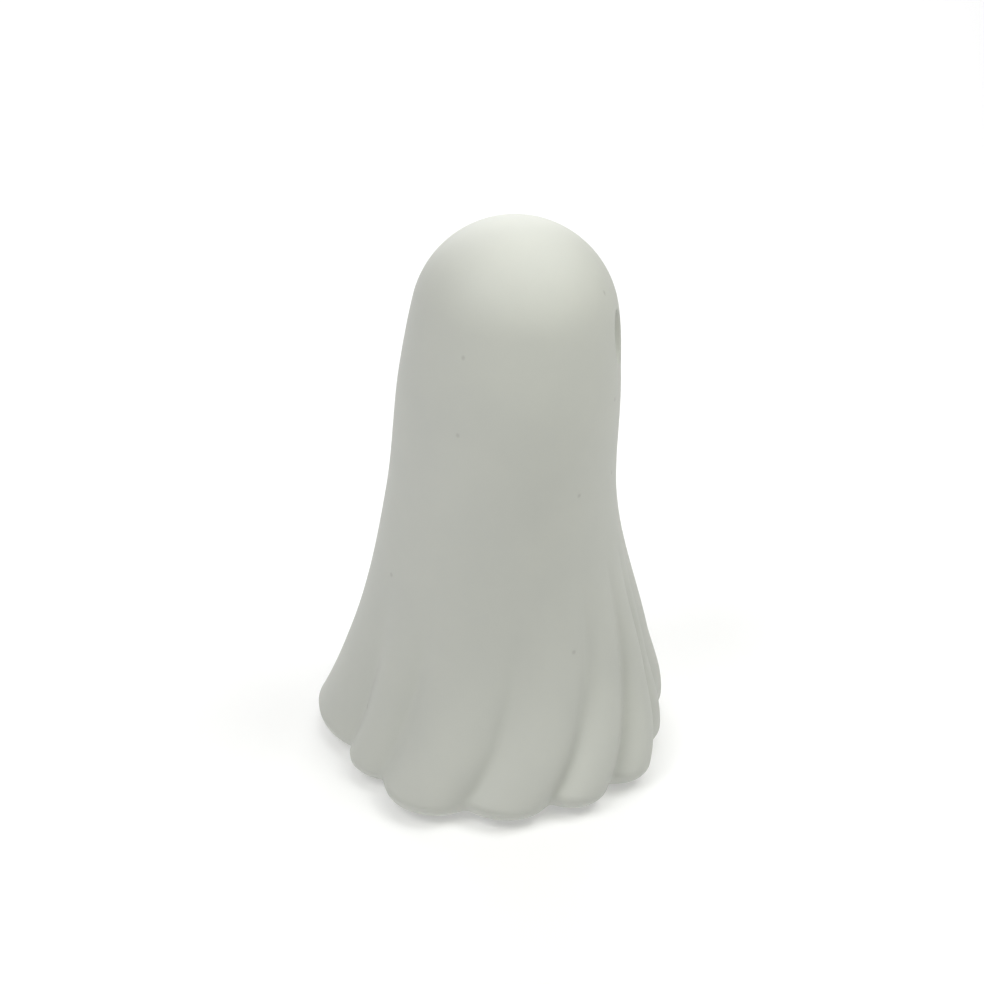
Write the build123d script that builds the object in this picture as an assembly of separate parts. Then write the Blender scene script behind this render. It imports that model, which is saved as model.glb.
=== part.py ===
"""Slip-cast ceramic ghost: a hollow, draped shell with a pleated hem, closed underneath.

The figure stands on felt pads, and a soft stopper closes the pour hole in its floor.
Millimetres, +Z up, the table at Z = 0, the face towards -Y, mirrored about the YZ plane.
"""
from build123d import *
import math
import os

# The outline climbs from the table in steps, each measured from the one below it.
PAD_THICKNESS = 1.5      # felt under the foot
LIP_RISE = 3.5           # foot to the widest line of the hem
FLARE_RISE = 18.0        # hem to the knee, where the skirt is well flared
SKIRT_RISE = 34.0        # knee to the waist
BODY_RISE = 28.0         # waist to the brow
BROW_RISE = 9.8          # brow to the centre of the round head
HEAD_RADIUS = 20.2

# Reach of the outline from the middle of the hem, to the front, to the back and to either side.
HEM_REACH = 37.4
KNEE_FRONT = 32.4
KNEE_BACK = 30.5
KNEE_SIDE = 28.3
WAIST_FRONT = 23.7
WAIST_BACK = 23.4
WAIST_SIDE = 23.0
BROW_FRONT = 22.0
BROW_BACK = 20.9
BROW_SIDE = 22.4
HEAD_FORWARD = 1.2       # the head's centre stands this far ahead of the hem's
FLIP_SLOPE = 0.5         # outward kick of the skirt's sides and back just above the hem
SHOULDER_ANGLE = 12.0    # latitude of the head at which the body runs into it
LIP_INSET = 2.8          # how far the rounded hem curls in under itself
LIP_ANGLE = 75.0         # turn of that curl, from upright

# The pleats of one side, from the middle of the face to the middle of the back; the other side mirrors it.
# Each groove has its angle at the hem and its lean towards the face on its way up, in degrees.
# Each ridge swells at the hem by its share of the largest: the first is on the face, the last on the back.
GROOVES = ((13.0, -3.0), (33.0, 8.0), (55.0, 16.0), (77.5, 20.0), (105.5, 16.0), (136.5, 8.0),
           (156.0, 2.0))
RIDGE_SHARES = (0.1, 0.0, 0.75, 0.6, 0.6, 1.0, 0.0, 0.1)
RIDGE_SWELL = 3.4        # of the largest ridge
GROOVE_DEPTH = 2.9       # below the ridges, at the hem
PLEAT_RISE_FRONT = 48.0  # height over which the pleats fade into the body, at the face
PLEAT_RISE_BACK = 42.0   # and at the back
LEAN_RISE = 18.0         # height over which the grooves straighten

# The casting and its underside.
WALL = 3.0               # at the deepest groove
FLOOR = 4.0
FLOOR_CORNER = 3.0       # slope of the hollow at the edge of its floor
FOOT_RING = 9.6          # width of the flat ring under the hem
POUR_HOLE = 18.0         # diameter

# The eyes, pressed into the soft clay.
EYE_ANGLE = 21.5         # from the middle of the face
EYE_DROP = 0.6           # below the centre of the head
EYE_WIDTH = 6.0
EYE_HEIGHT = 11.0
EYE_DEPTH = 2.2

# The felt pads.
PAD_COUNT = 4
PAD_MARGIN = 0.8         # bare ring on each side of a pad

# The soft stopper of the pour hole.
STOPPER_CLEARANCE = 0.05
STOPPER_TAPER = 0.5      # the nose of the skirt is this much smaller in radius
STOPPER_WALL = 1.4
STOPPER_PROUD = 2.5      # nose of the skirt beyond the floor, inside the figure
FLANGE_LIP = 3.0         # flange beyond the hole
FLANGE_THICKNESS = 1.3
FLANGE_BEVEL = 0.6       # room for a fingernail under the rim
FLANGE_SINK = 0.2        # flange above the level of the foot ring

# Strips between level sections of the drape, narrow enough to look smooth: hem, pleats and plain body.
LIP_STEPS, PLEAT_STEPS, BODY_STEPS = 2, 14, 6
# The hollow is made of flats: this many round it, and this many from the head's middle to its crown.
HOLLOW_SIDES, CROWN_STEPS = 24, 3

# Heights above the table.
FOOT_Z = PAD_THICKNESS
HEM_Z = FOOT_Z + LIP_RISE
KNEE_Z = HEM_Z + FLARE_RISE
WAIST_Z = KNEE_Z + SKIRT_RISE
BROW_Z = WAIST_Z + BODY_RISE
HEAD_Z = BROW_Z + BROW_RISE
PLEAT_TOP_Z = HEM_Z + max(PLEAT_RISE_FRONT, PLEAT_RISE_BACK)
SHOULDER_Z = HEAD_Z + HEAD_RADIUS * math.sin(math.radians(SHOULDER_ANGLE))
RECESS_Z = FOOT_Z + FLANGE_SINK + FLANGE_THICKNESS
FLOOR_Z = RECESS_Z + FLOOR

# Radii of the underside.
FOOT_RADIUS = HEM_REACH - LIP_INSET - GROOVE_DEPTH
RECESS_RADIUS = FOOT_RADIUS - FOOT_RING
HOLE_RADIUS = POUR_HOLE / 2


def with_slopes(points, first, last):
    """Add to each (height, reach) the slope there of the parabola through its neighbours."""
    slopes = [first]
    for (za, ra), (z, r), (zb, rb) in zip(points, points[1:], points[2:]):
        below, above = (r - ra) / (z - za), (rb - r) / (zb - z)
        slopes.append((below * (zb - z) + above * (z - za)) / (zb - za))
    return [(z, r, slope) for (z, r), slope in zip(points, slopes + [last])]


def rail_reach(rail, z):
    """Reach at a height, on the cubic between the two stations of the rail around it."""
    spans = list(zip(rail, rail[1:]))
    (za, ra, sa), (zb, rb, sb) = next((span for span in spans if z <= span[1][0]), spans[-1])
    rise = zb - za
    t = (z - za) / rise
    ends = ra * (1 + 2 * t) * (1 - t) ** 2 + rb * t * t * (3 - 2 * t)
    return ends + rise * (sa * t * (1 - t) ** 2 + sb * t * t * (t - 1))


SHOULDER_REACH = HEAD_RADIUS * math.cos(math.radians(SHOULDER_ANGLE))
SHOULDER_SLOPE = -math.tan(math.radians(SHOULDER_ANGLE))
FRONT_RAIL = with_slopes(
    [(HEM_Z, HEM_REACH), (KNEE_Z, KNEE_FRONT), (WAIST_Z, WAIST_FRONT), (BROW_Z, BROW_FRONT),
     (SHOULDER_Z, SHOULDER_REACH + HEAD_FORWARD)], 0, SHOULDER_SLOPE)
BACK_RAIL = with_slopes(
    [(HEM_Z, HEM_REACH), (KNEE_Z, KNEE_BACK), (WAIST_Z, WAIST_BACK), (BROW_Z, BROW_BACK),
     (SHOULDER_Z, SHOULDER_REACH - HEAD_FORWARD)], -FLIP_SLOPE, SHOULDER_SLOPE)
SIDE_RAIL = with_slopes(
    [(HEM_Z, HEM_REACH), (KNEE_Z, KNEE_SIDE), (WAIST_Z, WAIST_SIDE), (BROW_Z, BROW_SIDE),
     (SHOULDER_Z, SHOULDER_REACH)], -FLIP_SLOPE, SHOULDER_SLOPE)


def outline(z):
    """Half depth and half breadth without pleats, and how far their centre is ahead of the hem's."""
    if z >= HEM_Z:
        front, back = rail_reach(FRONT_RAIL, z), rail_reach(BACK_RAIL, z)
        return (front + back) / 2, rail_reach(SIDE_RAIL, z), (front - back) / 2
    full = math.radians(LIP_ANGLE)
    turn = math.asin((HEM_Z - z) / LIP_RISE * math.sin(full))
    reach = HEM_REACH - LIP_INSET * (1 - math.cos(turn)) / (1 - math.cos(full))
    return reach, reach, 0


def at_angle(angle, z, offset):
    """Point an offset outside the unpleated figure, its angle counted from the face."""
    depth, breadth, forward = outline(z)
    turn = math.radians(angle)
    return Vector((breadth + offset) * math.sin(turn), -forward - (depth + offset) * math.cos(turn), z)


def pleat_share(angle, z):
    """How strong the pleats are: full at the hem, fading upwards, higher at the face than at the back."""
    fade = PLEAT_RISE_BACK + (PLEAT_RISE_FRONT - PLEAT_RISE_BACK) * (1 + math.cos(math.radians(angle))) / 2
    left = min(1, max(0, 1 - (z - HEM_Z) / fade))
    return left * left * (3 - 2 * left)


def groove_angles(z):
    """Angles of all the grooves at a height, once round the figure from the back."""
    share = math.tanh(max(0, z - HEM_Z) / LEAN_RISE)
    side = [angle - lean * share for angle, lean in GROOVES]
    return [-angle for angle in reversed(side)] + side


def valleys_and_ridges(z):
    """Points at a height in the grooves, and those on the ridges between each groove and the next."""
    grooves = groove_angles(z)
    swells = [RIDGE_SWELL * share for share in RIDGE_SHARES[-2::-1] + RIDGE_SHARES[1:]]
    valleys, ridges = [], []
    for number, start in enumerate(grooves):
        end = grooves[number + 1] if number + 1 < len(grooves) else grooves[0] + 360
        level = (swells[number - 1] + swells[number]) / 2 - GROOVE_DEPTH
        valleys.append(at_angle(start, z, level * pleat_share(start, z)))
        middle = (start + end) / 2
        ridges.append(at_angle(middle, z, swells[number] * pleat_share(middle, z)))
    return valleys, ridges


def drape_section(z):
    """Closed wire at a height: a parabola over the ridge of each pleat, or an arc where the head starts."""
    valleys, ridges = valleys_and_ridges(z)
    pleats = list(zip(valleys, ridges, valleys[1:] + valleys[:1]))
    if z < SHOULDER_Z:
        return Wire([Edge.make_bezier(a, ridge * 2 - (a + b) / 2, b) for a, ridge, b in pleats])
    return Wire([Edge.make_three_point_arc(a, ridge, b) for a, ridge, b in pleats])


def steps_between(low, high, count):
    """Heights from low up to, but not including, high."""
    return [low + (high - low) * step / count for step in range(count)]


def draped_body():
    """The figure as one solid: the drape from its rolled hem to its shoulders, and the round of the head."""
    full = math.radians(LIP_ANGLE)
    turns = [full * (1 - step / LIP_STEPS) for step in range(LIP_STEPS)]
    lip = [HEM_Z - LIP_RISE * math.sin(turn) / math.sin(full) for turn in turns]
    skirt = steps_between(HEM_Z, PLEAT_TOP_Z, PLEAT_STEPS)
    body = steps_between(PLEAT_TOP_Z, SHOULDER_Z, BODY_STEPS) + [SHOULDER_Z]
    drape = Solid.make_loft([drape_section(z) for z in lip + skirt + body], ruled=True)
    return drape + Solid.make_sphere(HEAD_RADIUS, Plane((0, -HEAD_FORWARD, HEAD_Z)), SHOULDER_ANGLE, 90, 360)


def hollow():
    """The inside of the casting, one wall in from the deepest groove at each height."""
    forward = HEAD_FORWARD / 2

    def inner_radius(z):
        valleys, ridges = valleys_and_ridges(z)
        return min((point - Vector(0, -forward, z)).length for point in valleys + ridges) - WALL

    corner_z = FLOOR_Z + FLOOR_CORNER
    floor = [(inner_radius(corner_z) - FLOOR_CORNER, FLOOR_Z)]
    wall = [(inner_radius(z), z) for z in (corner_z, KNEE_Z, WAIST_Z, BROW_Z)]
    crown_radius = HEAD_RADIUS - forward - WALL
    crown = [(crown_radius * math.cos(turn), HEAD_Z + crown_radius * math.sin(turn))
             for turn in steps_between(0, math.pi / 2, CROWN_STEPS)]
    rings = floor + wall + crown
    sections = [Pos(0, -forward, z) * RegularPolygon(radius, HOLLOW_SIDES) for radius, z in rings]
    return loft(sections + [Vertex(0, -forward, HEAD_Z + crown_radius)], ruled=True)


def eye_press(side):
    """Upright spheroid that leaves the oval dimple of one eye."""
    half_width = EYE_WIDTH / 2
    standoff = (half_width ** 2 / EYE_DEPTH - EYE_DEPTH) / 2
    girth = EYE_DEPTH + standoff
    half_height = EYE_HEIGHT / 2 * girth / half_width
    place = at_angle(side * EYE_ANGLE, HEAD_Z - EYE_DROP, standoff)
    return Pos(place) * scale(Sphere(1), by=(girth, girth, half_height))


def ghost_shell():
    """The casting: draped outside, hollow inside, eyes pressed in, foot ring and pour hole below."""
    shell = draped_body() - hollow()
    for side in (-1, 1):
        shell -= eye_press(side)
    shell -= Pos(0, 0, FOOT_Z) * extrude(Circle(RECESS_RADIUS), RECESS_Z - FOOT_Z)
    return shell - Pos(0, 0, RECESS_Z) * extrude(Circle(HOLE_RADIUS), FLOOR)


def pour_stopper():
    """Soft cup pushed up into the pour hole, its flange flat against the floor of the recess."""
    skirt = HOLE_RADIUS - STOPPER_CLEARANCE
    nose = skirt - STOPPER_TAPER
    flange = HOLE_RADIUS + FLANGE_LIP
    bottom, tip = RECESS_Z - FLANGE_THICKNESS, FLOOR_Z + STOPPER_PROUD
    profile = Polyline(
        (0, bottom), (flange, bottom), (flange, RECESS_Z - FLANGE_BEVEL), (flange - FLANGE_BEVEL, RECESS_Z),
        (skirt, RECESS_Z), (skirt, FLOOR_Z), (nose, tip), (nose - STOPPER_WALL, tip),
        (nose - STOPPER_WALL, RECESS_Z), (0, RECESS_Z), close=True)
    return revolve(Plane.XZ * make_face(profile), Axis.Z)


def felt_pad(number):
    """One felt disc under the foot ring, set between the middle of the face and its neighbour."""
    angle = 360 * (number + 0.5) / PAD_COUNT
    disc = Circle(FOOT_RING / 2 - PAD_MARGIN)
    return Rot(0, 0, angle) * Pos(0, FOOT_RING / 2 - FOOT_RADIUS) * extrude(disc, PAD_THICKNESS)


os.makedirs("parts", exist_ok=True)
export_step(ghost_shell(), "parts/ghost_shell.step")
export_step(pour_stopper(), "parts/pour_stopper.step")
for number in range(PAD_COUNT):
    export_step(felt_pad(number), f"parts/felt_pad_{number + 1}.step")
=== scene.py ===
"""White bisque ghost: a hollow casting of a draped sheet, on felt pads, with a stopper in its pour hole.

Metres, +Z up, the table at Z = 0, the face towards -Y.
"""
import math

import bpy
import numpy as np
from mathutils import Matrix, Vector


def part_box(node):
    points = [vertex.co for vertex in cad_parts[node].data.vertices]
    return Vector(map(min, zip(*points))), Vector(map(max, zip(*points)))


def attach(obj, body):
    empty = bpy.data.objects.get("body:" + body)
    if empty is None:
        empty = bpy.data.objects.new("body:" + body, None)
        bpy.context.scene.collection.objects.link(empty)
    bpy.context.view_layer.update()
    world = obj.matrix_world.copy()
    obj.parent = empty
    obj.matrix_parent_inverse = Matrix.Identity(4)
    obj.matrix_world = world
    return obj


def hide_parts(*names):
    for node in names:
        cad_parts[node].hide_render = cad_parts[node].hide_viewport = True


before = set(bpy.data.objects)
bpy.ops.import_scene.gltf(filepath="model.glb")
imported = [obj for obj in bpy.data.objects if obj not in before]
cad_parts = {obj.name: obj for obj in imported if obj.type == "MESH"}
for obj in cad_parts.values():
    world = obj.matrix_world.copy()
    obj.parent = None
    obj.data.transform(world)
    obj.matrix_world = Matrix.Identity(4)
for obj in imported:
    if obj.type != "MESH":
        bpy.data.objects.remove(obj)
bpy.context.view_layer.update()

# The ghost is one slip-cast shell of white clay, fired once and left unglazed.
# The drape, its pleats, the rolled hem and the two pressed eyes are one surface with the inside wall,
# and underneath are a foot ring, a shallow recess and the hole through which the slip was poured out.
MM = 0.001
FOOT_Z, CROWN_Z = (corner.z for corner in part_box("ghost_shell"))
LIP_RISE, LIP_INSET, LIP_ANGLE = 3.5 * MM, 2.8 * MM, math.radians(75)
SKIRT_RISE, BODY_RISE, FACE_RISE = 18 * MM, 34 * MM, 28 * MM
HEM_Z = FOOT_Z + LIP_RISE
KNEE_Z = HEM_Z + SKIRT_RISE
WAIST_Z = KNEE_Z + BODY_RISE
BROW_Z = WAIST_Z + FACE_RISE
HEAD_RADIUS, HEAD_FORWARD = 20.2 * MM, 1.2 * MM
HEAD_Z = CROWN_Z - HEAD_RADIUS
SHOULDER_ANGLE = math.radians(12)
SHOULDER_Z = HEAD_Z + HEAD_RADIUS * math.sin(SHOULDER_ANGLE)
SHOULDER_REACH = HEAD_RADIUS * math.cos(SHOULDER_ANGLE)

# Reach of the drape to the front, the back and either side, at the hem, knee, waist, brow and shoulder.
HEM_REACH, HEM_FLIP = 37.4 * MM, 0.5
STATIONS = (HEM_Z, KNEE_Z, WAIST_Z, BROW_Z, SHOULDER_Z)
FRONT_REACHES = (HEM_REACH, 32.8 * MM, 23.7 * MM, 22.4 * MM, SHOULDER_REACH + HEAD_FORWARD)
BACK_REACHES = (HEM_REACH, 30.5 * MM, 23.4 * MM, 20.9 * MM, SHOULDER_REACH - HEAD_FORWARD)
SIDE_REACHES = (HEM_REACH, 28.3 * MM, 23 * MM, 22.4 * MM, SHOULDER_REACH)

# Each groove of one side: its angle from the face at the hem, and how far it leans to the face above,
# in degrees. The ridges' swells go from the one below the face to the one on the back.
GROOVES = ((13, -3), (33, 8), (55, 16), (77.5, 20), (105.5, 16), (136.5, 8), (156, 2))
RIDGE_SWELL, RIDGE_SHARES = 3.4 * MM, np.array((0.1, 0, 0.75, 0.6, 0.6, 1, 0, 0.1))
RIDGE_POWER, GROOVE_DEPTH, GROOVE_SOFTNESS = 2.2, 3.8 * MM, 1.0 * MM
PLEAT_RISE_FRONT, PLEAT_RISE_BACK, LEAN_RISE = 48 * MM, 42 * MM, 18 * MM

EYE_ANGLE, EYE_Z = math.radians(21.5), HEAD_Z - 0.6 * MM
EYE_WIDTH, EYE_HEIGHT, EYE_DEPTH, EYE_RIM, EYE_TILT = 6 * MM, 11 * MM, 2.7 * MM, 0.25 * MM, 0.4

FOOT_RADIUS, FOOT_BEVEL = HEM_REACH - LIP_INSET, 0.6 * MM
RECESS_RADIUS, RECESS_Z = 22.1 * MM, FOOT_Z + 1.5 * MM
HOLE_RADIUS, FLOOR_Z = 9 * MM, FOOT_Z + 5.5 * MM
HEEL_RADIUS, HEEL_RISE = 29.9 * MM, 3 * MM
INSIDE_FLOOR, INSIDE_KNEE, INSIDE_WAIST, INSIDE_BROW = 26.9 * MM, 25.1 * MM, 19.9 * MM, 18.3 * MM
INSIDE_HEAD, INSIDE_CROWN, INSIDE_TIP = 16.5 * MM, 11.7 * MM, 0.1 * MM
UNDER_SOFTNESS = np.array((0.2, 0.5, 0.5, 0.4, 0.4, 2, 2, 6, 12, 4, 4, 4)) * MM
DOME_ROWS, FACE_ROWS, DRAPE_ROWS, LIP_ROWS, CORNER_ROWS = 32, 50, 92, 13, 3
COLUMNS, FACE_CROWDING = 400, 0.45

CLAY_DARK, CLAY_LIGHT = (0.588, 0.601, 0.563), (0.63, 0.64, 0.59)
CLAY_ROUGHNESS, GRAIN_ROUGHNESS, CLAY_BUMP = 0.52, 0.16, 0.06 * MM
CLOUD_SCALE, CLOUD_BUMP, GRAIN_SCALE, GRAIN_BUMP = 90, 1.5, 2600, 0.25
# Colour and strength of the painted shade inside the pinholes.
PINHOLE_SHADE_TINT, PINHOLE_SHADE_STRENGTH = (0.30, 0.29, 0.27), 0.25
PINHOLE_SCALE, PINHOLE_SHARE, PINHOLE_EDGE, PINHOLE_CORE = 75, 0.2, 0.045, 0.015
MEAN_RADIUS = 24 * MM


def rail(z, heights, reaches, first_slope, last_slope):
    """Reach at heights z: a cubic between stations, its slope at each that of a parabola through three."""
    heights, reaches = np.array(heights), np.array(reaches)
    gaps = np.diff(heights)
    steps = np.diff(reaches) / gaps
    inner = (steps[:-1] * gaps[1:] + steps[1:] * gaps[:-1]) / (gaps[:-1] + gaps[1:])
    slopes = np.concatenate([[first_slope], inner, [last_slope]])
    span = np.clip(np.searchsorted(heights, z) - 1, 0, len(gaps) - 1)
    t = (z - heights[span]) / gaps[span]
    ends = reaches[span] * (1 + 2 * t) * (1 - t) ** 2 + reaches[span + 1] * t * t * (3 - 2 * t)
    return ends + gaps[span] * (slopes[span] * t * (1 - t) ** 2 + slopes[span + 1] * t * t * (t - 1))


def pleats(z, turn):
    """Relief of the pleats: over each ridge a flat-topped arch, at each point the highest, faded upwards.

    An arch falls from its ridge to its two grooves with a power of the angle. The highest is a smooth
    maximum, which rounds the grooves. The fade is a smooth step from the hem, and ends higher at the face
    than at the back.
    """
    z = np.maximum(z, HEM_Z)[:, None]
    side = np.array(GROOVES, float)
    angles = np.radians(side[:, 0] - side[:, 1] * np.tanh((z - HEM_Z) / LEAN_RISE))
    grooves = np.concatenate([-angles[:, ::-1], angles, 2 * math.pi - angles[:, -1:]], axis=1)
    swells = RIDGE_SWELL * np.concatenate([RIDGE_SHARES[::-1][1:], RIDGE_SHARES[1:]])
    valleys = (np.roll(swells, 1) + swells) / 2 - GROOVE_DEPTH
    total = 0
    for number, (swell, low, high) in enumerate(zip(swells, valleys, np.roll(valleys, -1))):
        start, end = grooves[:, number:number + 1], grooves[:, number + 1:number + 2]
        across = (np.mod(turn - (start + end) / 2 + math.pi, 2 * math.pi) - math.pi) / ((end - start) / 2)
        arch = swell - (swell - np.where(across < 0, low, high)) * np.abs(across) ** RIDGE_POWER
        total = total + np.exp(arch / GROOVE_SOFTNESS)
    rise = PLEAT_RISE_BACK + (PLEAT_RISE_FRONT - PLEAT_RISE_BACK) * (1 + np.cos(turn)) / 2
    left = np.clip(1 - (z - HEM_Z) / rise, 0, 1)
    return GROOVE_SOFTNESS * np.log(total) * left * left * (3 - 2 * left)


def eye_dimples(points):
    """Depth of the eyes at points: a spheroid's bowl in an upright oval, deeper above, its rim rounded."""
    girth = (EYE_WIDTH ** 2 / 4 / EYE_DEPTH + EYE_DEPTH) / 2
    depth = np.zeros(points.shape[:2])
    for side in (-1, 1):
        outward = np.array((side * math.sin(EYE_ANGLE), -math.cos(EYE_ANGLE), 0))
        across = np.array((math.cos(EYE_ANGLE), side * math.sin(EYE_ANGLE), 0))
        place = points - (0, -HEAD_FORWARD, EYE_Z)
        oval = (place @ across) ** 2 + (place[..., 2] * EYE_WIDTH / EYE_HEIGHT) ** 2
        tilt = 1 + EYE_TILT * place[..., 2] / (EYE_HEIGHT / 2)
        bowl = (np.sqrt(np.maximum(girth ** 2 - oval, 0)) - girth + EYE_DEPTH) * tilt
        rounded = (bowl + np.hypot(bowl, EYE_RIM)) / 2
        depth += np.where((place @ outward > 0) & (oval < girth ** 2), rounded, 0)
    return depth


def rounded_line(corners, softness, count):
    """Outline through corners, each inner corner a parabola that starts and ends its softness away."""
    corners = np.array(corners, float)
    t = np.linspace(0, 1, count)[:, None]
    line = [corners[:1]]
    for before, corner, after, reach in zip(corners, corners[1:], corners[2:], softness):
        start = corner + (before - corner) * reach / np.linalg.norm(before - corner)
        end = corner + (after - corner) * reach / np.linalg.norm(after - corner)
        line.append(start * (1 - t) ** 2 + corner * 2 * t * (1 - t) + end * t * t)
    return np.concatenate(line + [corners[-1:]])


def ringed_mesh(name, rings):
    """Closed mesh through rings of points: quads between them, and a fan to the middle of each end ring."""
    count, columns = rings.shape[:2]
    points = np.concatenate([rings[:1].mean(1), rings.reshape(-1, 3), rings[-1:].mean(1)])
    column = np.arange(columns)
    following = (column + 1) % columns
    above = 1 + columns * np.arange(count - 1)[:, None]
    below = above + columns
    quads = np.stack([above + column, below + column, below + following, above + following], axis=-1)
    last = 1 + columns * (count - 1)
    first_fan = np.stack([np.zeros(columns, int), 1 + column, 1 + following], axis=-1)
    last_fan = np.stack([np.full(columns, last + columns), last + following, last + column], axis=-1)
    mesh = bpy.data.meshes.new(name)
    faces = quads.reshape(-1, 4).tolist() + first_fan.tolist() + last_fan.tolist()
    mesh.from_pydata(points.tolist(), [], faces)
    mesh.shade_smooth()
    piece = bpy.data.objects.new(name, mesh)
    bpy.context.scene.collection.objects.link(piece)
    return piece


def outside_rows():
    """Rows of depth, breadth, forward shift and height down the outside: round head, drape and lip.

    Depth is the mean of the front and back rails, and the shift is half their difference.
    The lip is part of an ellipse.
    """
    latitude = np.sin(np.linspace(0, math.pi / 2, DOME_ROWS)[1:-1])
    latitude = math.pi / 2 - (math.pi / 2 - SHOULDER_ANGLE) * latitude
    radius = HEAD_RADIUS * np.cos(latitude)
    forward = np.full(len(latitude), HEAD_FORWARD)
    dome = np.stack([radius, radius, forward, HEAD_Z + HEAD_RADIUS * np.sin(latitude)], axis=1)
    z = np.concatenate([np.linspace(SHOULDER_Z, BROW_Z, FACE_ROWS),
                        np.linspace(BROW_Z, HEM_Z, DRAPE_ROWS)[1:]])
    slope = -math.tan(SHOULDER_ANGLE)
    front = rail(z, STATIONS, FRONT_REACHES, 0, slope)
    back = rail(z, STATIONS, BACK_REACHES, -HEM_FLIP, slope)
    side = rail(z, STATIONS, SIDE_REACHES, -HEM_FLIP, slope)
    drape = np.stack([(front + back) / 2, side, (front - back) / 2, z], axis=1)
    roll = np.linspace(0, LIP_ANGLE, LIP_ROWS)[1:]
    reach = HEM_REACH - LIP_INSET * (1 - np.cos(roll)) / (1 - math.cos(LIP_ANGLE))
    lip = np.stack([reach, reach, 0 * roll, HEM_Z - LIP_RISE * np.sin(roll) / math.sin(LIP_ANGLE)], axis=1)
    return np.concatenate([dome, drape, lip])


def inside_rows():
    """Rows like those outside, from the foot through the pour hole and up the inside: a turned outline."""
    line = rounded_line(
        [(FOOT_RADIUS, FOOT_Z), (FOOT_RADIUS - FOOT_BEVEL, FOOT_Z), (RECESS_RADIUS, FOOT_Z),
         (RECESS_RADIUS, RECESS_Z), (HOLE_RADIUS, RECESS_Z), (HOLE_RADIUS, FLOOR_Z), (INSIDE_FLOOR, FLOOR_Z),
         (HEEL_RADIUS, FLOOR_Z + HEEL_RISE), (INSIDE_KNEE, KNEE_Z), (INSIDE_WAIST, WAIST_Z),
         (INSIDE_BROW, BROW_Z), (INSIDE_HEAD, HEAD_Z), (INSIDE_CROWN, HEAD_Z + INSIDE_CROWN),
         (INSIDE_TIP, HEAD_Z + INSIDE_HEAD)],
        UNDER_SOFTNESS, CORNER_ROWS)[1:]
    radius, height = line.T
    forward = np.interp(height, (FLOOR_Z, FLOOR_Z + HEEL_RISE), (0, HEAD_FORWARD / 2))
    return np.stack([radius, radius, forward, height], axis=1)


def shell_rings():
    """Rings of the casting: over the head, down the drape, round the hem, under the foot and up the inside.

    A ring is an ellipse of its row's depth and breadth, with the pleats' relief added and the eyes' depth
    taken off. Across the foot the hem's relief fades evenly from the lip to the round recess.
    """
    turn = np.linspace(0, 2 * math.pi, COLUMNS, endpoint=False)
    turn -= FACE_CROWDING * np.sin(turn)
    outside, inside = outside_rows(), inside_rows()
    relief = pleats(outside[:, 3], turn)
    share = np.clip((inside[:, 0] - RECESS_RADIUS) / (FOOT_RADIUS - RECESS_RADIUS), 0, 1)
    share = share * (inside[:, 3] < RECESS_Z)
    relief = np.concatenate([relief, relief[-1] * share[:, None]])
    depth, breadth, forward, height = np.concatenate([outside, inside]).T[..., None]
    points = np.stack([(breadth + relief) * np.sin(turn), -forward - (depth + relief) * np.cos(turn),
                       np.broadcast_to(height, relief.shape)], axis=-1)
    press = eye_dimples(points) * (np.arange(len(relief)) < len(outside))[:, None]
    points[..., 0] -= press * np.sin(turn)
    points[..., 1] += press * np.cos(turn)
    return points


class Shade:
    """A value in a material: arithmetic on it adds Math nodes, and node() adds any other node."""

    def __init__(self, tree, made=None, output=0):
        self.tree, self.made = tree, made
        self.socket = made.outputs[output] if made and made.outputs else None

    def node(self, kind, settings=None, inputs=None, output=0):
        """A node of a type with its settings, then its sockets' values or links."""
        made = self.tree.nodes.new(kind)
        for name, setting in (settings or {}).items():
            setattr(made, name, setting)
        for name, value in (inputs or {}).items():
            if isinstance(value, Shade):
                self.tree.links.new(value.socket, made.inputs[name])
            else:
                made.inputs[name].default_value = value
        return Shade(self.tree, made, output)

    def also(self, output):
        """Another output of the same node."""
        return Shade(self.tree, self.made, output)

    def math(self, operation, first, second):
        """A Math node on two values."""
        return self.node("ShaderNodeMath", {"operation": operation}, {0: first, 1: second})

    def __add__(self, other):
        return self.math("ADD", self, other)

    def __radd__(self, other):
        return self.math("ADD", other, self)

    def __sub__(self, other):
        return self.math("SUBTRACT", self, other)

    def __rsub__(self, other):
        return self.math("SUBTRACT", other, self)

    def __mul__(self, other):
        return self.math("MULTIPLY", self, other)

    def __rmul__(self, other):
        return self.math("MULTIPLY", other, self)

    def below(self, limit):
        """One where the value is under a limit, and nothing elsewhere."""
        return self.math("LESS_THAN", self, limit)


def new_finish(piece, name):
    """New material on a piece, as the place from which its nodes are made."""
    material = bpy.data.materials.new(name)
    material.use_nodes = True
    material.node_tree.nodes.clear()
    piece.data.materials.append(material)
    return Shade(material.node_tree)


def noise(place, scale, detail, distortion=0.0):
    """Cloudy value of about 0.5, with patches of about one over its scale."""
    return place.node("ShaderNodeTexNoise", None,
                      {"Vector": place, "Scale": scale, "Detail": detail, "Distortion": distortion})


def blend(share, first, second):
    """Colour between two, each a link or three numbers: sockets 6 and 7 of a Mix node are its colours."""
    first, second = (c if isinstance(c, Shade) else (*c, 1) for c in (first, second))
    return share.node("ShaderNodeMix", {"data_type": "RGBA"}, {0: share, 6: first, 7: second}, 2)


def apply_finish(finish, colour, roughness, height, bump_distance, **constants):
    """Principled surface with a colour, a roughness and a bump, and the rest as constants on its sockets."""
    normal = finish.node("ShaderNodeBump", None, {"Distance": bump_distance, "Height": height})
    sockets = {"Base Color": colour, "Roughness": roughness, "Normal": normal, **constants}
    surface = finish.node("ShaderNodeBsdfPrincipled", None, sockets)
    finish.node("ShaderNodeOutputMaterial", None, {"Surface": surface})


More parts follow.
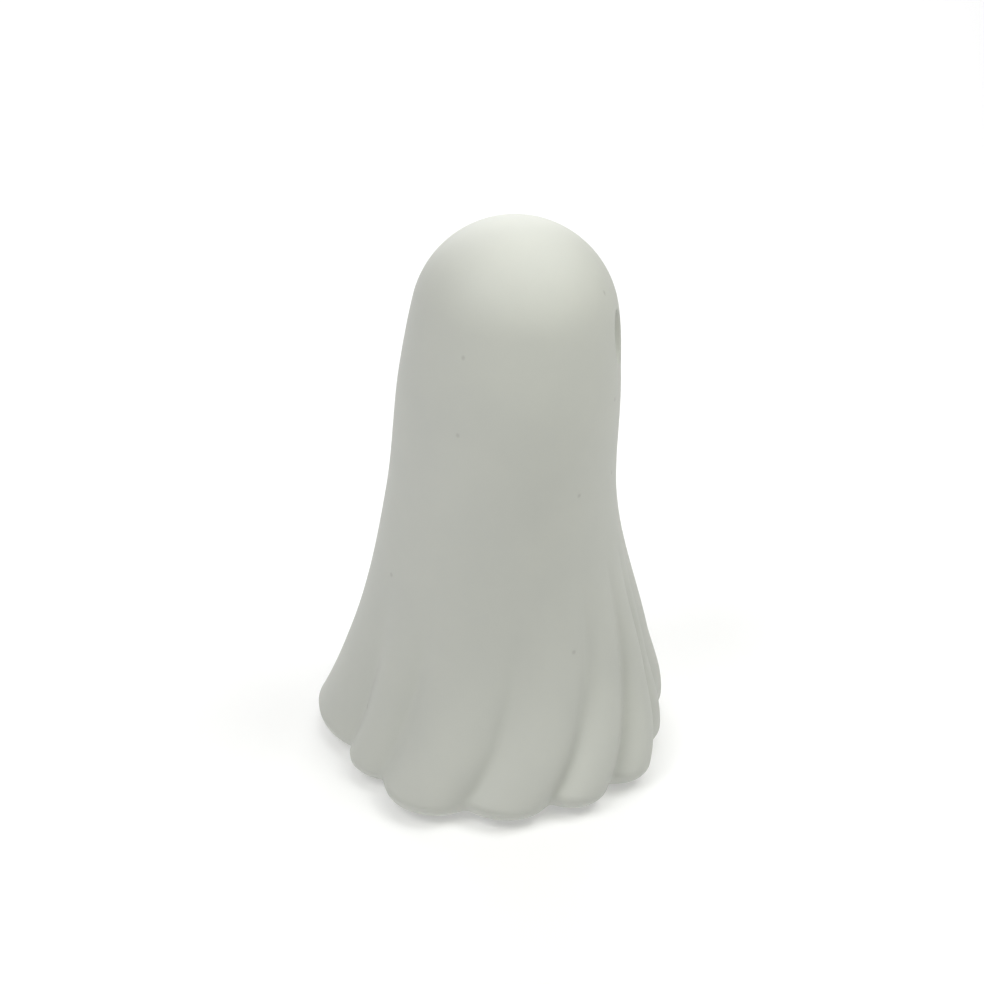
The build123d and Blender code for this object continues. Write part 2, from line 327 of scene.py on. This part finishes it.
ghost = ringed_mesh("ghost_bisque", shell_rings())
clay = new_finish(ghost, "white_bisque")
place = clay.node("ShaderNodeTexCoord", output="Object")
cloud = noise(place, CLOUD_SCALE, detail=3)
grain = noise(place, GRAIN_SCALE, detail=4)

# The pinholes lie on the surface unrolled round the upright axis, as a dot in some of the cells there.
across = place.node("ShaderNodeSeparateXYZ", None, {"Vector": place}, "X")
bearing = across.math("ARCTAN2", across, 0 - across.also("Y"))
unrolled = place.node("ShaderNodeCombineXYZ", None, {"X": bearing * MEAN_RADIUS, "Y": across.also("Z")})
cells = place.node("ShaderNodeTexVoronoi", {"voronoi_dimensions": "2D"},
                   {"Vector": unrolled, "Scale": PINHOLE_SCALE})
chosen = place.node("ShaderNodeSeparateColor", None, {"Color": cells.also("Color")}).below(PINHOLE_SHARE)
dot = place.node("ShaderNodeMapRange", None,
                 {"Value": cells, "From Min": PINHOLE_EDGE, "From Max": PINHOLE_CORE})
pinhole_pit_and_shade = dot * chosen

tint = blend(cloud, CLAY_DARK, CLAY_LIGHT)
# Painted shade: each pinhole is darkened in colour to stand for the shade inside its pit, and the same mask
# presses the pit in as a bump.
tint = blend(pinhole_pit_and_shade * PINHOLE_SHADE_STRENGTH, tint, PINHOLE_SHADE_TINT)
relief = grain * GRAIN_BUMP + cloud * CLOUD_BUMP - pinhole_pit_and_shade
apply_finish(clay, tint, CLAY_ROUGHNESS + grain * GRAIN_ROUGHNESS, relief, CLAY_BUMP)
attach(ghost, "figure")
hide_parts("ghost_shell")

# The stopper is a soft cup moulded in pale rubber, pushed up into the pour hole by hand.
# Its flange lies flat against the recess, with a bevel for a fingernail, and its underside is dished
# round the small mark that the mould's gate leaves.
STOPPER_LOW, STOPPER_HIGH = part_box("pour_stopper")
STOPPER_COLUMNS, STOPPER_CORNER_ROWS = 160, 7
FLANGE_RADIUS, FLANGE_BEVEL = STOPPER_HIGH.x, 0.6 * MM
SKIRT_RADIUS, NOSE_RADIUS, CUP_RADIUS = 8.95 * MM, 8.45 * MM, 7.05 * MM
DISH_RADIUS, DISH_DEPTH, GATE_RADIUS = 8 * MM, 0.35 * MM, 1.1 * MM
AXIS_RADIUS = 0.02 * MM
STOPPER_SOFTNESS = np.array((0.6, 0.3, 0.3, 0.3, 0.05, 0.2, 0.2, 0.25, 0.2, 0.2, 0.1, 0.08)) * MM
RUBBER_DARK, RUBBER_LIGHT = (0.58, 0.56, 0.50), (0.68, 0.66, 0.60)
RUBBER_ROUGHNESS, RUBBER_BUMP, RUBBER_COAT = 0.36, 0.03 * MM, 0.05
BLOOM_SCALE, BLOOM_ROUGHNESS, SPECK_SCALE, SPECK_BUMP = 260, 0.22, 3200, 0.3


def turned_rings(line, columns, centre=(0, 0)):
    """Rings of a turned piece: each (radius, height) of its outline carried once round an upright axis."""
    turn = np.linspace(0, 2 * math.pi, columns, endpoint=False)
    radius, height = line[:, :1], line[:, 1:]
    return np.stack([centre[0] + radius * np.sin(turn), centre[1] - radius * np.cos(turn),
                     np.broadcast_to(height, (len(line), columns))], axis=-1)


bottom, tip = STOPPER_LOW.z, STOPPER_HIGH.z
stopper_line = rounded_line(
    [(AXIS_RADIUS, RECESS_Z), (CUP_RADIUS, RECESS_Z), (CUP_RADIUS, tip), (NOSE_RADIUS, tip),
     (SKIRT_RADIUS, FLOOR_Z), (SKIRT_RADIUS, RECESS_Z), (FLANGE_RADIUS - FLANGE_BEVEL, RECESS_Z),
     (FLANGE_RADIUS, RECESS_Z - FLANGE_BEVEL), (FLANGE_RADIUS, bottom), (DISH_RADIUS, bottom),
     (DISH_RADIUS - DISH_DEPTH, bottom + DISH_DEPTH), (GATE_RADIUS, bottom + DISH_DEPTH),
     (GATE_RADIUS, bottom + DISH_DEPTH / 2), (AXIS_RADIUS, bottom + DISH_DEPTH / 2)],
    STOPPER_SOFTNESS, STOPPER_CORNER_ROWS)
stopper = ringed_mesh("stopper_rubber", turned_rings(stopper_line, STOPPER_COLUMNS))
rubber = new_finish(stopper, "pale_rubber")
place = rubber.node("ShaderNodeTexCoord", output="Object")
bloom = noise(place, BLOOM_SCALE, detail=4)
speck = noise(place, SPECK_SCALE, detail=2)
tint = blend(bloom, RUBBER_DARK, RUBBER_LIGHT)
apply_finish(rubber, tint, RUBBER_ROUGHNESS + bloom * BLOOM_ROUGHNESS, speck * SPECK_BUMP, RUBBER_BUMP,
             **{"Coat Weight": RUBBER_COAT})
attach(stopper, "stopper")
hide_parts("pour_stopper")

# The pads are discs die-cut from pressed wool felt, stuck under the foot ring with their own adhesive.
# The cut rim is a little ragged, and the weight of the ceramic has rounded it over.
PADS = ("felt_pad_1", "felt_pad_2", "felt_pad_3", "felt_pad_4")
PAD_COLUMNS, PAD_CORNER_ROWS, PAD_SOFTNESS = 180, 7, np.array((0.3, 0.4, 0.5)) * MM
FRAY_ORDERS, FRAY, FRAY_POWER, FRAY_TURN = np.array((9, 14, 23)), np.array((0.05, 0.04, 0.03)) * MM, 6, 1.7
FELT_DARK, FELT_LIGHT = (0.42, 0.40, 0.35), (0.66, 0.64, 0.58)
FELT_ROUGHNESS, FIBRE_ROUGHNESS, FELT_BUMP, FELT_SHEEN, SHEEN_ROUGHNESS = 0.86, 0.1, 0.15 * MM, 0.25, 0.6
FIBRE_STRETCH, FIBRE_DISTORTION = (1, 0.22, 1), 0.8
FIBRE_TURNS, FIBRE_SCALES = (0.6, 1.9), (4200, 3600)


def felt_rings(low, high, fray_turn):
    """Rings of a felt disc: a turned rim, rounded over, whose radius wavers by a few sines of the angle."""
    radius = (high.x - low.x) / 2 - FRAY.sum()
    line = rounded_line(
        [(AXIS_RADIUS, high.z), (radius, high.z), (radius + FRAY.sum() / 2, (low.z + high.z) / 2),
         (radius, low.z), (AXIS_RADIUS, low.z)], PAD_SOFTNESS, PAD_CORNER_ROWS)
    rings = turned_rings(line, PAD_COLUMNS, ((low.x + high.x) / 2, (low.y + high.y) / 2))
    turn = np.linspace(0, 2 * math.pi, PAD_COLUMNS, endpoint=False)
    waver = (FRAY[:, None] * np.sin(FRAY_ORDERS[:, None] * (turn + fray_turn))).sum(0)
    share = np.clip(line[:, :1] / radius, 0, 1) ** FRAY_POWER
    rings[..., 0] += share * waver * np.sin(turn)
    rings[..., 1] -= share * waver * np.cos(turn)
    return rings


def fibres(place, turn, scale):
    """Cloudy value drawn out into strands that lie at a turn about the upright axis."""
    laid = place.node("ShaderNodeMapping", None,
                      {"Vector": place, "Rotation": (0, 0, turn), "Scale": FIBRE_STRETCH})
    return noise(laid, scale, detail=3, distortion=FIBRE_DISTORTION)


for number, node in enumerate(PADS):
    pad = ringed_mesh(f"felt_disc_{number + 1}", felt_rings(*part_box(node), FRAY_TURN * number))
    felt = new_finish(pad, f"wool_felt_{number + 1}")
    place = felt.node("ShaderNodeTexCoord", output="Object")
    along, crossed = (fibres(place, turn + number, scale) for turn, scale in zip(FIBRE_TURNS, FIBRE_SCALES))
    fibre = along * crossed * 2
    tint = blend(fibre, FELT_DARK, FELT_LIGHT)
    apply_finish(felt, tint, FELT_ROUGHNESS + fibre * FIBRE_ROUGHNESS, fibre, FELT_BUMP,
                 **{"Sheen Weight": FELT_SHEEN, "Sheen Roughness": SHEEN_ROUGHNESS})
    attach(pad, "figure")
    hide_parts(node)

# The ghost stands on a wide, plain, pale table.
# It glows a little of itself, so that it is as bright as paper round the figure.
TABLE_HALF, TABLE_WHITE, TABLE_ROUGHNESS, TABLE_GLOW = 4.0, (0.75, 0.75, 0.75, 1), 0.9, 0.28
table_corners = [(x * TABLE_HALF, y * TABLE_HALF, 0) for x, y in ((-1, -1), (1, -1), (1, 1), (-1, 1))]
table_mesh = bpy.data.meshes.new("pale_table")
table_mesh.from_pydata(table_corners, [], [(0, 1, 2, 3)])
table = bpy.data.objects.new("pale_table", table_mesh)
bpy.context.scene.collection.objects.link(table)
sheet = new_finish(table, "pale_table")
surface = sheet.node("ShaderNodeBsdfPrincipled", None,
                     {"Base Color": TABLE_WHITE, "Roughness": TABLE_ROUGHNESS, "Specular IOR Level": 0.0,
                      "Emission Color": (1, 1, 1, 1), "Emission Strength": TABLE_GLOW})
sheet.node("ShaderNodeOutputMaterial", None, {"Surface": surface})

# The light is two small warm lamps close above the head, whose light fades down the figure, and four larger
# soft boxes: high on the left, on the right and overhead, and one behind that lights the far table.
# Each has its width, its power in watts, its colour and its place.
WARM, PLAIN = (0.98, 1.0, 0.88), (1.0, 1.0, 1.0)
LIGHTS = (("lamp", 0.12, 0.06, WARM, (-0.13, 0.018, 0.24)),
          ("right_lamp", 0.15, 0.119, WARM, (-0.124, -0.112, 0.269)),
          ("left_box", 0.45, 3.1, PLAIN, (-0.234, 0.502, 0.769)),
          ("right_box", 0.45, 3.0, PLAIN, (0, -0.45, 0.839)),
          ("top_box", 0.3, 1.0, PLAIN, (0.1, 0, 0.8)),
          ("back_box", 0.9, 6.0, PLAIN, (0.85, 0, 0.5)))
LIT_POINT = Vector((0, 0, 0.06))
ROOM_STRENGTH = 0.02
for name, size, watts, colour, spot in LIGHTS:
    box = bpy.data.objects.new(name, bpy.data.lights.new(name, "AREA"))
    box.data.size, box.data.energy, box.data.color = size, watts, colour
    box.location = spot
    box.rotation_euler = (LIT_POINT - box.location).to_track_quat("-Z", "Y").to_euler()
    bpy.context.scene.collection.objects.link(box)
room = bpy.data.worlds.new("dim_room")
room.use_nodes = True
room.node_tree.nodes.clear()
walls = Shade(room.node_tree)
light = walls.node("ShaderNodeBackground", None, {"Color": (1, 1, 1, 1), "Strength": ROOM_STRENGTH})
walls.node("ShaderNodeOutputWorld", None, {"Surface": light})
bpy.context.scene.world = room
bpy.context.scene.view_settings.view_transform = "Standard"

# The camera looks down at the ghost's right side, held a little askew.
# Its focal length and its optical centre are in pixels of a square picture.
IMAGE_SIZE, FOCAL_PIXELS, CENTRE_X, CENTRE_Y = 984, 1692.3, 501.06, 487.35
AZIMUTH, ELEVATION, ROLL, DISTANCE = math.radians(-99), math.radians(30), math.radians(2.585), 0.345
TARGET, SENSOR_WIDTH = Vector((0, 0, 57.5 * MM)), 36
away = Vector((math.sin(AZIMUTH) * math.cos(ELEVATION), -math.cos(AZIMUTH) * math.cos(ELEVATION),
               math.sin(ELEVATION)))
level = Vector((math.cos(AZIMUTH), math.sin(AZIMUTH), 0))
upright = away.cross(level)
right = level * math.cos(ROLL) + upright * math.sin(ROLL)
up = upright * math.cos(ROLL) - level * math.sin(ROLL)
turned = Matrix((right, up, away)).transposed().to_4x4()
camera = bpy.data.objects.new("camera", bpy.data.cameras.new("camera"))
camera.data.sensor_width = SENSOR_WIDTH
camera.data.lens = FOCAL_PIXELS * SENSOR_WIDTH / IMAGE_SIZE
camera.data.shift_x = (IMAGE_SIZE / 2 - CENTRE_X) / IMAGE_SIZE
camera.data.shift_y = (CENTRE_Y - IMAGE_SIZE / 2) / IMAGE_SIZE
camera.matrix_world = Matrix.Translation(TARGET + away * DISTANCE) @ turned
bpy.context.scene.collection.objects.link(camera)
bpy.context.scene.camera = camera
